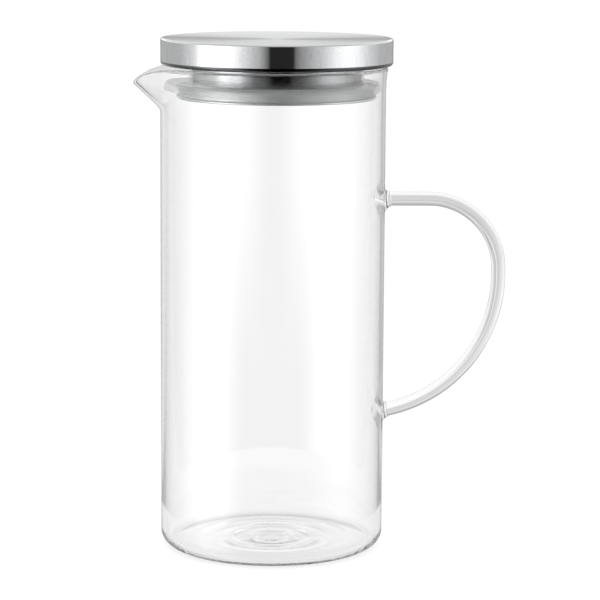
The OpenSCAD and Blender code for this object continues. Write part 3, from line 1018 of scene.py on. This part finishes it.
def add_world():
    """White to the camera and through the glass, a studio in reflections, and an even soft light."""
    world = bpy.data.worlds.new("studio")
    world.use_nodes = True
    tree = world.node_tree
    tree.nodes.clear()

    def calc(operation, *values):
        return maths(tree, operation, *values)

    def blend(share, a, b):
        """From a to b by a share."""
        return calc("ADD", calc("MULTIPLY", calc("SUBTRACT", 1.0, share), a), calc("MULTIPLY", share, b))

    def light(strength):
        """White light of a strength."""
        return add_node(tree, "ShaderNodeBackground", inputs={
            "Color": linear("#FFFFFF"), "Strength": strength}), "Background"

    def round_object(stops):
        """A level by direction, counted from the camera's side."""
        level, brightest = azimuth_level(tree, x, calc("MULTIPLY", y, -1.0), stops, 360)
        return calc("MULTIPLY", level, brightest)

    place = add_node(tree, "ShaderNodeTexCoord")
    parts = add_node(tree, "ShaderNodeSeparateXYZ", inputs={"Vector": (place, "Generated")})
    x, y, z = ((parts, axis) for axis in "XYZ")
    # In reflections
    boxes = round_object(STUDIO)
    far = blend(ramp_up(tree, z, FAR_RISE), boxes, height_level(tree, z, CEILING))
    near = blend(ramp_up(tree, z, NEAR_RISE), boxes, height_level(tree, z, NEAR_CEILING))
    room = blend(ramp_up(tree, y, SIDE_CHANGE), near, far)
    depth = calc("MULTIPLY", z, -1.0)
    room = calc("MULTIPLY", room, blend(ramp_up(tree, depth, LOWER_FALL), 1.0, round_object(LOWER)))
    room = calc("MULTIPLY", room, height_level(tree, depth, UNDERSIDE))
    # Through the glass
    low_down = calc("SUBTRACT", 1.0, ramp_up(tree, z, SCREEN_TOP))
    backdrop = calc("MULTIPLY", height_level(tree, z, BACKDROP), screened(tree, x, y, low_down))
    path = add_node(tree, "ShaderNodeLightPath")
    # Light on its way to a dull surface is the same even light inside the jug as outside it
    direct = calc("LESS_THAN", (path, "Diffuse Depth"), 0.5)
    straight = calc("MAXIMUM", (path, "Is Camera Ray"), (path, "Is Transmission Ray"))
    through = add_node(tree, "ShaderNodeMixShader", inputs={
        "Fac": calc("MULTIPLY", straight, direct), 1: light(EVEN_LIGHT), 2: light(backdrop)})
    # What a mirror shows is the studio, also where the reflection goes on through glass. Light that the
    # glass itself has turned aside goes on to the backdrop.
    aside = calc("MULTIPLY", ramp_up(tree, y, BEHIND), calc("SUBTRACT", 1.0, (path, "Is Glossy Ray")))
    in_mirror = calc("MULTIPLY", has_mirrored(tree), calc("SUBTRACT", 1.0, aside))
    whole = add_node(tree, "ShaderNodeMixShader", inputs={
        "Fac": in_mirror, 1: (through, "Shader"), 2: light(room)})
    add_node(tree, "ShaderNodeOutputWorld", inputs={"Surface": (whole, "Shader")})
    bpy.context.scene.world = world


# The floor in millimetres: half its width, and how far it lies below the glass
FLOOR_HALF = 8000
FLOOR_DROP = 0.02
# Radii over which the screens' shade comes in, and over which a painted shadow under the jug fades out: the
# shine rises from 1 under the jug to its open level
SHADE_IN = (200, 450)
PAINTED_SHADOW_EDGE = (46, 50)
OPEN_SHINE = 1.12
# How much of the floor is its own shine, which keeps it white. The rest is paint that takes the shadow.
SHINE_SHARE = 0.82
# Mirrors see past the floor beyond this far from the axis
MIRROR_START = 100


def add_floor():
    """A wide pale floor that keeps the object's soft shadow, with a painted shadow under the jug, and shows
    white where nothing shades it.
    """
    material, tree = new_material("pale_floor")

    def calc(operation, *values):
        return maths(tree, operation, *values)

    place = add_node(tree, "ShaderNodeTexCoord")
    parts = add_node(tree, "ShaderNodeSeparateXYZ", inputs={"Vector": (place, "Object")})
    length = add_node(tree, "ShaderNodeVectorMath", {"operation": "LENGTH"}, {0: (place, "Object")})
    away = (length, "Value")
    far = add_node(tree, "ShaderNodeMapRange", inputs={
        "Value": away, "From Min": SHADE_IN[0] * MM, "From Max": SHADE_IN[1] * MM})
    level = screened(tree, (parts, "X"), (parts, "Y"), (far, "Result"))
    # Painted shadow: the floor's shine is dimmer under the jug, out to about its radius, to stand for its
    # shadow there
    under = add_node(tree, "ShaderNodeMapRange", inputs={
        "Value": away, "From Min": PAINTED_SHADOW_EDGE[0] * MM, "From Max": PAINTED_SHADOW_EDGE[1] * MM,
        "To Min": 1.0, "To Max": OPEN_SHINE})
    paint = add_node(tree, "ShaderNodeBsdfDiffuse", inputs={"Color": linear("#F2F2F2")})
    glow = add_node(tree, "ShaderNodeEmission", inputs={
        "Color": linear("#FFFFFF"), "Strength": calc("MULTIPLY", level, (under, "Result"))})
    path = add_node(tree, "ShaderNodeLightPath")
    seen = calc("MAXIMUM", (path, "Is Camera Ray"), (path, "Is Transmission Ray"))
    both = add_node(tree, "ShaderNodeMixShader", inputs={
        "Fac": calc("MULTIPLY", seen, SHINE_SHARE), 1: (paint, "BSDF"), 2: (glow, "Emission")})
    # A mirror sees past the floor to the studio, except close to the object and straight behind it
    apart = calc("GREATER_THAN", away, MIRROR_START * MM)
    front = ramp_up(tree, calc("DIVIDE", (parts, "Y"), away), BEHIND, 1.0, 0.0)
    past = calc("MULTIPLY", calc("MULTIPLY", apart, has_mirrored(tree)), front)
    gone = add_node(tree, "ShaderNodeBsdfTransparent")
    whole = add_node(tree, "ShaderNodeMixShader", inputs={
        "Fac": past, 1: (both, "Shader"), 2: (gone, "BSDF")})
    finish_material(material, whole, "Shader")
    sides = ((-1, -1), (1, -1), (1, 1), (-1, 1))
    corners = [Vector((FLOOR_HALF * x, FLOOR_HALF * y, -FLOOR_DROP)) for x, y in sides]
    floor = make_piece("floor", corners, [(0, 1, 2, 3)], material)
    floor.visible_glossy = False


scene = bpy.context.scene
scene.view_settings.view_transform = "Standard"
# Light runs along inside the glass by many mirrorings before it leaves at an edge
scene.cycles.max_bounces = 24
scene.cycles.transmission_bounces = 24
scene.cycles.glossy_bounces = 16
scene.cycles.transparent_max_bounces = 16

add_camera()
add_world()
add_floor()

glass = borosilicate_glass()
brushed = brushed_steel("stainless_steel_brushed", "#D1D2D3", "#E4E5E6")
# The collar takes a darker copy of the brushed steel, with painted shade: its greys stand for the shade it
# lies in under the cap
brushed_painted_shade = brushed_steel("stainless_steel_brushed_painted_shade", "#B2B3B4", "#C2C3C4")
burnished = polished_steel()
# The rolled hem's steel, with painted shade
rolled = rolled_steel_painted_shade()
satin = satin_steel()
rubber = silicone()

jug = build_jug(glass)
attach(jug, "pitcher")
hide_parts("glass_body", "handle")

spinner = spinning_tree()
for name, profile, edge_kind, node, slot, finish, body in (
        ("steel_cap", cap_profile(), cap_edges, "cap_shell", "cap_steel", brushed, "lid"),
        ("steel_base", base_profile(), base_edges, "cap_base", "base_steel", brushed, "lid"),
        ("steel_collar", collar_profile(), collar_edges, "collar", "collar_steel", brushed_painted_shade, "lid"),
        ("steel_pan", pan_profile(), pan_edges, "lid_pan", "pan_steel", satin, "lid"),
        ("silicone_ring", ring_profile(), no_edges, "gasket", "ring_silicone", rubber, "seal")):
    piece = spin(name, spinner, profile, edge_kind, finish, burnished, rolled)
    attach(piece, body)
    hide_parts(node)
